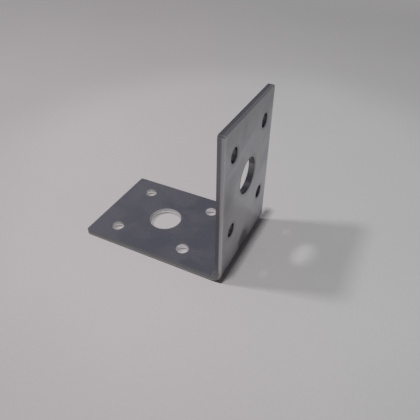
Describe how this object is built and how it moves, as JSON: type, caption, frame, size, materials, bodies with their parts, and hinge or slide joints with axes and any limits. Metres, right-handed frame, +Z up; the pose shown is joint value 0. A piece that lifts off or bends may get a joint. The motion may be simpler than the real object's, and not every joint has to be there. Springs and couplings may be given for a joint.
{
  "type": "corner brace bracket",
  "caption": "Corner brace of folded zinc-coated steel sheet that joins members at a right angle, with a bolt hole amid screw holes in each flange.",
  "frame": {"origin": "on the underside, at the middle of the foot's length and width", "axes": "+X towards the wall's outer face, +Y along the fold, +Z up from the foot, along the wall's height"},
  "size_m": [0.06, 0.04, 0.06],
  "materials": {
    "zinc_coated_steel": "satin"
  },
  "bodies": {
    "root": {"bracket": "zinc_coated_steel"}
  },
  "joints": []
}
